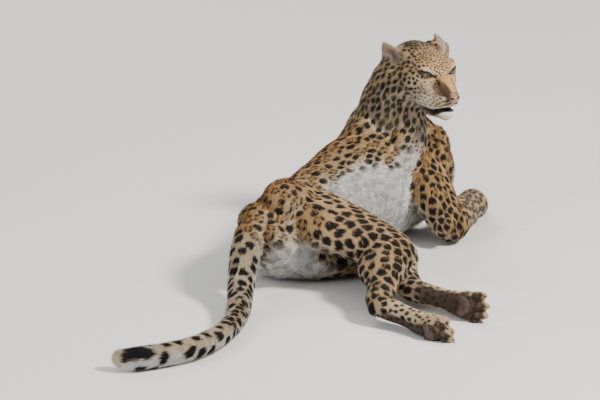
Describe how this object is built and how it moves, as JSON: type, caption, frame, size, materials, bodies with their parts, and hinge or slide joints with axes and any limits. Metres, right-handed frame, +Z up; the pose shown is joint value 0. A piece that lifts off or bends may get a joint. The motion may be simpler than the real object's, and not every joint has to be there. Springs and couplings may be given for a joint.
{
  "type": "leopard",
  "caption": "Life-size still leopard lying with its hips on the left side, chest upright, forelegs forward, hind legs and tail stretched out and head turned to its right.",
  "frame": {"origin": "on the floor, under the middle of the animal's box", "axes": "+Z up; +Y from the hips towards the chest, along the animal's greatest length; +X towards the side that the belly, feet and muzzle face"},
  "size_m": [0.7264, 1.3184, 0.3966],
  "materials": {
    "coat": "short fur, golden tan with black rosettes and spots, white below",
    "eye": "wet, glossy, grey-green iris with a round black pupil",
    "nose": "moist fine-grained skin, brownish pink",
    "pad": "matt rough skin, dark grey-brown",
    "mouth": "moist dark skin of lips, lid rims and mouth",
    "claw": "smooth horn",
    "whisker": "stiff white hair"
  },
  "bodies": {
    "root": {"belly": "coat", "chest": "coat", "ear_left": "coat", "ear_right": "coat", "eye_left": "eye", "eye_right": "eye", "foot_left": "coat", "foot_right": "coat", "fore_paw_left": "coat", "fore_paw_right": "coat", "forearm_left": "coat", "forearm_right": "coat", "head": "coat", "hind_paw_left": "coat", "hind_paw_right": "coat", "lower_jaw": "coat", "neck": "coat", "nose": "nose", "rump": "coat", "shank_left": "coat", "shank_right": "coat", "tail_1": "coat", "tail_2": "coat", "tail_3": "coat", "tail_4": "coat", "thigh_left": "coat", "thigh_right": "coat", "upper_arm_left": "coat", "upper_arm_right": "coat"}
  },
  "joints": []
}
